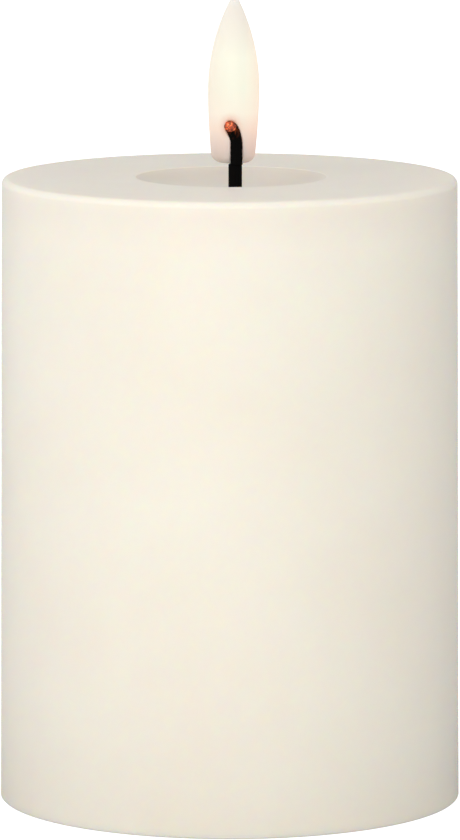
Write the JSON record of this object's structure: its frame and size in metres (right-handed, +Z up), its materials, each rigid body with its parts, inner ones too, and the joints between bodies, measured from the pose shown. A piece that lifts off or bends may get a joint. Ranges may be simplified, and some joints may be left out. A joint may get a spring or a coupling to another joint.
{
  "type": "flameless led candle",
  "caption": "Ivory wax pillar candle with a glowing teardrop flame on a black wick, a recessed melt pool, and a battery base with hinged door and slide switch.",
  "frame": {"origin": "centre of the foot, on the surface the candle stands on", "axes": "+Z up through the flame, -Y to the front where the wick stands before the flame, +X to the right"},
  "size_m": [0.075, 0.075, 0.1309],
  "materials": {
    "wax": "smooth ivory wax, faintly mottled, satin",
    "flame": "milky translucent silicone, lit from inside",
    "wick_black": "charred matt black",
    "ember": "glowing orange tip",
    "led_phosphor": "yellow phosphor",
    "led_board": "white solder mask",
    "holder_plastic": "moulded natural plastic",
    "base_plastic": "fine sparked moulding, warm white",
    "cell_metal": "nickel plated",
    "cell_sleeve": "plain shrink sleeve",
    "contact_metal": "nickel plated strip",
    "spring_steel": "plated spring wire",
    "board_green": "green solder mask",
    "chip_black": "moulded epoxy",
    "capacitor_sleeve": "shrink sleeve",
    "switch_black": "moulded black",
    "terminal_brass": "tinned brass",
    "wire_red": "vinyl insulation",
    "wire_black": "vinyl insulation"
  },
  "bodies": {
    "root": {"wax_shell": "wax", "flame_diffuser": "flame", "wick": "wick_black", "wick_ember": "ember", "wick_stem": "wick_black", "flame_led": "led_phosphor", "led_board": "led_board", "lamp_holder": "holder_plastic", "base_housing": "base_plastic", "cell_1_can": "cell_metal", "cell_1_sleeve": "cell_sleeve", "cell_2_can": "cell_metal", "cell_2_sleeve": "cell_sleeve", "bridge_contact": "contact_metal", "bridge_spring": "spring_steel", "positive_contact": "contact_metal", "negative_contact": "contact_metal", "negative_spring": "spring_steel", "circuit_board": "board_green", "control_chip": "chip_black", "timer_crystal": "cell_metal", "capacitor": "capacitor_sleeve", "chip_resistors": "chip_black", "board_screws": "spring_steel", "switch_can": "contact_metal", "switch_base": "switch_black", "switch_terminals": "terminal_brass", "battery_wire_red": "wire_red", "battery_wire_black": "wire_black", "lamp_wire_red": "wire_red", "lamp_wire_black": "wire_black"},
    "door": {"battery_door": "base_plastic"},
    "knob": {"switch_knob": "switch_black", "switch_wiper": "terminal_brass"}
  },
  "joints": [
    {"name": "battery_door_hinge", "type": "hinge", "parent": "root", "child": "door", "pos_m": [0, 0.0175, 0.0019], "axis": [1, 0, 0], "range_deg": [0, 100]},
    {"name": "switch_slide", "type": "slide", "parent": "root", "child": "knob", "axis": [1, 0, 0], "range_m": [0, 0.004]}
  ]
}
